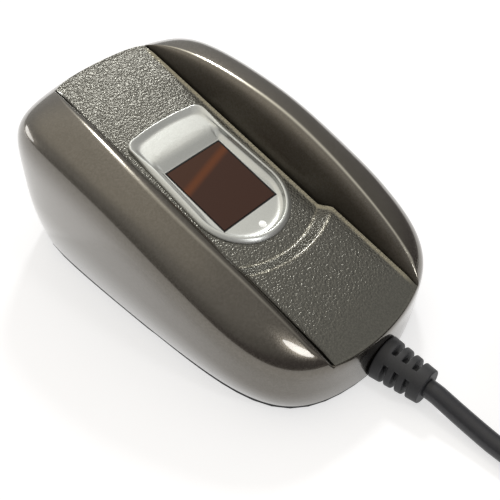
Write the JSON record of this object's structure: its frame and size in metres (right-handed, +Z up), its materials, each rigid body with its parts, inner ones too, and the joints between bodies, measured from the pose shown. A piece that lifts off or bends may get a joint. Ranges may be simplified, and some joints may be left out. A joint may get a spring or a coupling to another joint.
{
  "type": "fingerprint scanner",
  "caption": "Desk fingerprint scanner: a glossy two-wing shell over a sloping grained channel with a silver-framed finger window, an optical reader inside and a USB cable.",
  "frame": {"origin": "bottom centre of the body, on the desk under the middle of its length", "axes": "+Z up, +Y towards the end where the cable leaves, +X to the side that the picture shows in full"},
  "size_m": [0.0907, 0.1818, 0.0384],
  "materials": {
    "upper_shell": "glossy metallic paint",
    "center_panel": "fine leather grain paint",
    "sensor_bezel": "satin silver paint",
    "sensor_prism": "polished, dark red-brown",
    "prism_gasket": "matte",
    "status_lens": "polished",
    "optics_housing": "matte black",
    "led_board": "solder mask",
    "illumination_leds": "clear resin",
    "lens_barrel": "matte black",
    "lens_glass": "coated",
    "camera_board": "solder mask",
    "image_sensor": "chip under glass",
    "optics_screws": "zinc plated",
    "base_plate": "fine texture",
    "rubber_feet": "matte",
    "case_screws": "zinc plated",
    "main_board": "solder mask",
    "board_screws": "zinc plated",
    "controller_chip": "moulded epoxy",
    "memory_chip": "moulded epoxy",
    "crystal_can": "bright can",
    "board_passives": "ceramic",
    "ribbon_socket": "moulded",
    "camera_ribbon": "film",
    "cable_header": "moulded",
    "header_plug": "moulded",
    "lead_wires": "insulation",
    "inner_cable": "satin",
    "cable_clamp": "moulded",
    "clamp_screws": "zinc plated",
    "strain_relief": "satin",
    "usb_cable": "satin",
    "cable_coil": "satin",
    "coil_tie": "satin",
    "plug_grip": "satin",
    "plug_shell": "nickel plated",
    "plug_tongue": "moulded",
    "plug_contacts": "gold plated"
  },
  "bodies": {
    "root": {"upper_shell": "upper_shell", "center_panel": "center_panel", "sensor_bezel": "sensor_bezel", "sensor_prism": "sensor_prism", "prism_gasket": "prism_gasket", "status_lens": "status_lens", "optics_housing": "optics_housing", "led_board": "led_board", "illumination_leds": "illumination_leds", "lens_barrel": "lens_barrel", "lens_glass": "lens_glass", "camera_board": "camera_board", "image_sensor": "image_sensor", "optics_screws": "optics_screws", "base_plate": "base_plate", "rubber_feet": "rubber_feet", "case_screws": "case_screws", "main_board": "main_board", "board_screws": "board_screws", "controller_chip": "controller_chip", "memory_chip": "memory_chip", "crystal_can": "crystal_can", "board_passives": "board_passives", "ribbon_socket": "ribbon_socket", "camera_ribbon": "camera_ribbon", "cable_header": "cable_header", "header_plug": "header_plug", "lead_wires": "lead_wires", "inner_cable": "inner_cable", "cable_clamp": "cable_clamp", "clamp_screws": "clamp_screws", "strain_relief": "strain_relief", "usb_cable": "usb_cable", "cable_coil": "cable_coil", "coil_tie": "coil_tie", "plug_grip": "plug_grip", "plug_shell": "plug_shell", "plug_tongue": "plug_tongue", "plug_contacts": "plug_contacts"}
  },
  "joints": []
}
